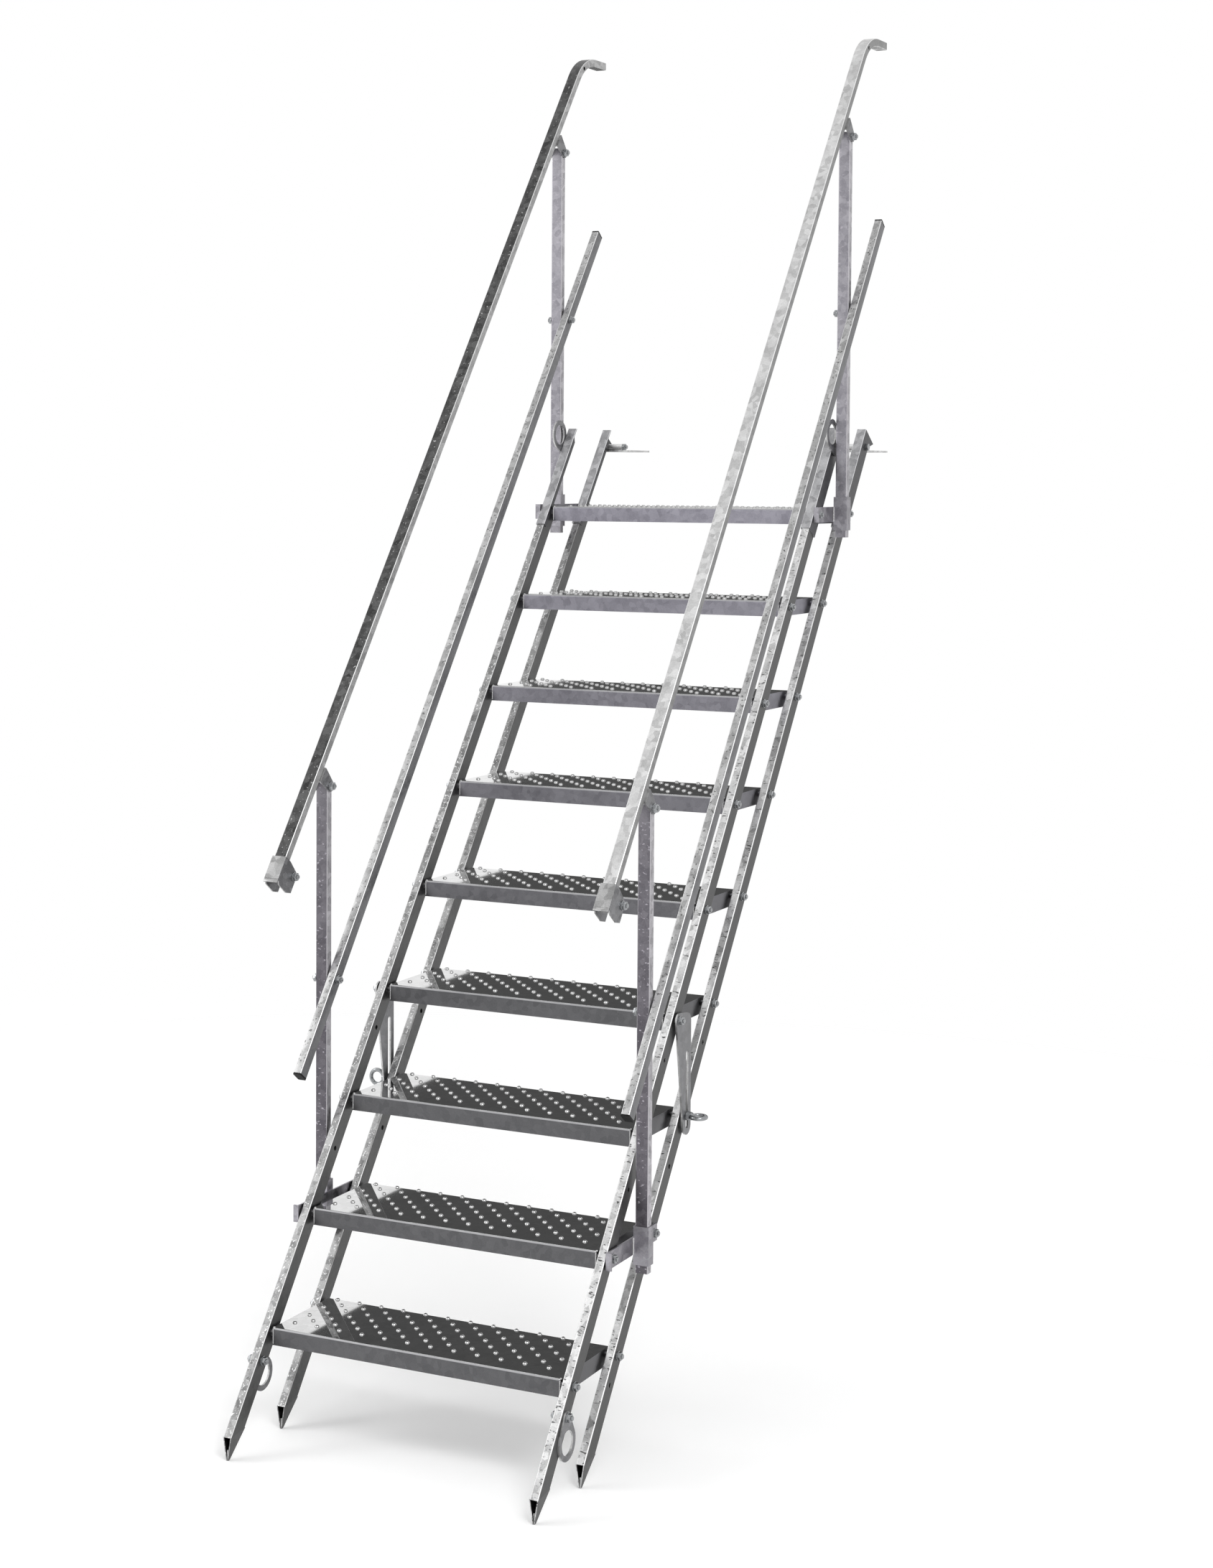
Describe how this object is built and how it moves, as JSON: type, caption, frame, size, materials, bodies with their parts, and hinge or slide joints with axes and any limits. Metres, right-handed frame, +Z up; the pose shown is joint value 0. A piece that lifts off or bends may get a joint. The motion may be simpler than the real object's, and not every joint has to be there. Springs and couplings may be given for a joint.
{
  "type": "adjustable construction stair",
  "caption": "Galvanised steel site stair with pivoting chequered treads between two pairs of stringers, a handrail and a middle rail on both sides, and hinged landing feet",
  "frame": {"origin": "middle of the flat underside of the left landing foot, where the stair rests on the upper floor", "axes": "+X along the treads to a climber's right, +Y away from the climber towards the upper floor, +Z up"},
  "size_m": [0.8754, 2.0515, 3.2338],
  "materials": {
    "galvanised_steel": "hot-dip galvanised, satin with a mottled spangle",
    "zinc_plated_steel": "bright zinc plate",
    "black_plastic": "moulded, matte"
  },
  "bodies": {
    "landing": {"landing_foot_left": "galvanised_steel", "landing_foot_right": "galvanised_steel", "landing_bolts": "zinc_plated_steel"},
    "rear_stringers": {"rear_stringer_left": "galvanised_steel", "rear_stringer_right": "galvanised_steel", "rear_channel_left": "galvanised_steel", "rear_channel_right": "galvanised_steel", "eye_nut_left": "zinc_plated_steel", "eye_nut_right": "zinc_plated_steel"},
    "front_stringers": {"front_stringer_left": "galvanised_steel", "front_stringer_right": "galvanised_steel", "front_channel_left": "galvanised_steel", "front_channel_right": "galvanised_steel"},
    "step_1": {"tread_1": "galvanised_steel"},
    "step_2": {"tread_2": "galvanised_steel", "lower_post_left": "galvanised_steel", "lower_post_right": "galvanised_steel", "lower_bracket_left": "galvanised_steel", "lower_bracket_right": "galvanised_steel"},
    "step_3": {"tread_3": "galvanised_steel"},
    "step_4": {"tread_4": "galvanised_steel"},
    "step_5": {"tread_5": "galvanised_steel"},
    "step_6": {"tread_6": "galvanised_steel"},
    "step_7": {"tread_7": "galvanised_steel"},
    "step_8": {"tread_8": "galvanised_steel"},
    "step_9": {"tread_9": "galvanised_steel", "upper_post_left": "galvanised_steel", "upper_post_right": "galvanised_steel", "upper_bracket_left": "galvanised_steel", "upper_bracket_right": "galvanised_steel"},
    "handrails": {"handrail_left": "galvanised_steel", "handrail_right": "galvanised_steel", "handrail_clips": "galvanised_steel", "handrail_sockets": "galvanised_steel"},
    "mid_rails": {"mid_rail_left": "galvanised_steel", "mid_rail_right": "galvanised_steel", "mid_rail_caps": "black_plastic"},
    "struts": {"strut_left": "galvanised_steel", "strut_right": "galvanised_steel"},
    "lower_lifting_eye_left": {"lower_lifting_eye_left": "galvanised_steel"},
    "lower_lifting_eye_right": {"lower_lifting_eye_right": "galvanised_steel"},
    "upper_lifting_eye_left": {"upper_lifting_eye_left": "galvanised_steel"},
    "upper_lifting_eye_right": {"upper_lifting_eye_right": "galvanised_steel"}
  },
  "joints": [
    {"name": "pitch", "type": "hinge", "parent": "landing", "child": "rear_stringers", "pos_m": [0.3477, -0.0845, 0.013], "axis": [1, 0, 0], "range_deg": [-22.7, 5.1]},
    {"name": "step_1_pivot", "type": "hinge", "parent": "rear_stringers", "child": "step_1", "pos_m": [0.3477, -1.58061, -1.94102], "axis": [1, 0, 0], "range_deg": [-5.1, 22.7]},
    {"name": "step_2_pivot", "type": "hinge", "parent": "rear_stringers", "child": "step_2", "pos_m": [0.3477, -1.41093, -1.71829], "axis": [1, 0, 0], "range_deg": [-5.1, 22.7]},
    {"name": "step_3_pivot", "type": "hinge", "parent": "rear_stringers", "child": "step_3", "pos_m": [0.3477, -1.24126, -1.49556], "axis": [1, 0, 0], "range_deg": [-5.1, 22.7]},
    {"name": "step_4_pivot", "type": "hinge", "parent": "rear_stringers", "child": "step_4", "pos_m": [0.3477, -1.07158, -1.27283], "axis": [1, 0, 0], "range_deg": [-5.1, 22.7]},
    {"name": "step_5_pivot", "type": "hinge", "parent": "rear_stringers", "child": "step_5", "pos_m": [0.3477, -0.9019, -1.05009], "axis": [1, 0, 0], "range_deg": [-5.1, 22.7]},
    {"name": "step_6_pivot", "type": "hinge", "parent": "rear_stringers", "child": "step_6", "pos_m": [0.3477, -0.73223, -0.82736], "axis": [1, 0, 0], "range_deg": [-5.1, 22.7]},
    {"name": "step_7_pivot", "type": "hinge", "parent": "rear_stringers", "child": "step_7", "pos_m": [0.3477, -0.56255, -0.60463], "axis": [1, 0, 0], "range_deg": [-5.1, 22.7]},
    {"name": "step_8_pivot", "type": "hinge", "parent": "rear_stringers", "child": "step_8", "pos_m": [0.3477, -0.39287, -0.3819], "axis": [1, 0, 0], "range_deg": [-5.1, 22.7]},
    {"name": "step_9_pivot", "type": "hinge", "parent": "rear_stringers", "child": "step_9", "pos_m": [0.3477, -0.2232, -0.15916], "axis": [1, 0, 0], "range_deg": [-5.1, 22.7]},
    {"name": "front_stringers_pivot", "type": "hinge", "parent": "step_5", "child": "front_stringers", "pos_m": [0.3477, -1.1159, -1.05009], "axis": [1, 0, 0], "range_deg": [-22.7, 5.1]},
    {"name": "handrails_pivot", "type": "hinge", "parent": "step_2", "child": "handrails", "pos_m": [0.3477, -1.50893, -0.77129], "axis": [1, 0, 0], "range_deg": [-22.7, 5.1]},
    {"name": "mid_rails_pivot", "type": "hinge", "parent": "step_2", "child": "mid_rails", "pos_m": [0.3477, -1.50893, -1.21229], "axis": [1, 0, 0], "range_deg": [-22.7, 5.1]},
    {"name": "struts_pivot", "type": "hinge", "parent": "front_stringers", "child": "struts", "pos_m": [0.3477, -1.28558, -1.27283], "axis": [1, 0, 0], "range_deg": [-4.54, 1.02]},
    {"name": "lower_lifting_eye_left_pivot", "type": "hinge", "parent": "front_stringers", "child": "lower_lifting_eye_left", "pos_m": [-0.0316, -1.834, -1.99273], "axis": [1, 0, 0], "range_deg": [-60, 60]},
    {"name": "lower_lifting_eye_right_pivot", "type": "hinge", "parent": "front_stringers", "child": "lower_lifting_eye_right", "pos_m": [0.727, -1.834, -1.99273], "axis": [1, 0, 0], "range_deg": [-60, 60]},
    {"name": "upper_lifting_eye_left_pivot", "type": "hinge", "parent": "front_stringers", "child": "upper_lifting_eye_left", "pos_m": [-0.0341, -0.316, -0.00007], "axis": [1, 0, 0], "range_deg": [-60, 60]},
    {"name": "upper_lifting_eye_right_pivot", "type": "hinge", "parent": "front_stringers", "child": "upper_lifting_eye_right", "pos_m": [0.7295, -0.316, -0.00007], "axis": [1, 0, 0], "range_deg": [-60, 60]}
  ],
  "couplings": [
    {"joint": "step_1_pivot", "follows": "pitch", "ratio": -1},
    {"joint": "step_2_pivot", "follows": "pitch", "ratio": -1},
    {"joint": "step_3_pivot", "follows": "pitch", "ratio": -1},
    {"joint": "step_4_pivot", "follows": "pitch", "ratio": -1},
    {"joint": "step_5_pivot", "follows": "pitch", "ratio": -1},
    {"joint": "step_6_pivot", "follows": "pitch", "ratio": -1},
    {"joint": "step_7_pivot", "follows": "pitch", "ratio": -1},
    {"joint": "step_8_pivot", "follows": "pitch", "ratio": -1},
    {"joint": "step_9_pivot", "follows": "pitch", "ratio": -1},
    {"joint": "front_stringers_pivot", "follows": "pitch", "ratio": 1},
    {"joint": "handrails_pivot", "follows": "pitch", "ratio": 1},
    {"joint": "mid_rails_pivot", "follows": "pitch", "ratio": 1},
    {"joint": "struts_pivot", "follows": "pitch", "ratio": 0.2}
  ]
}
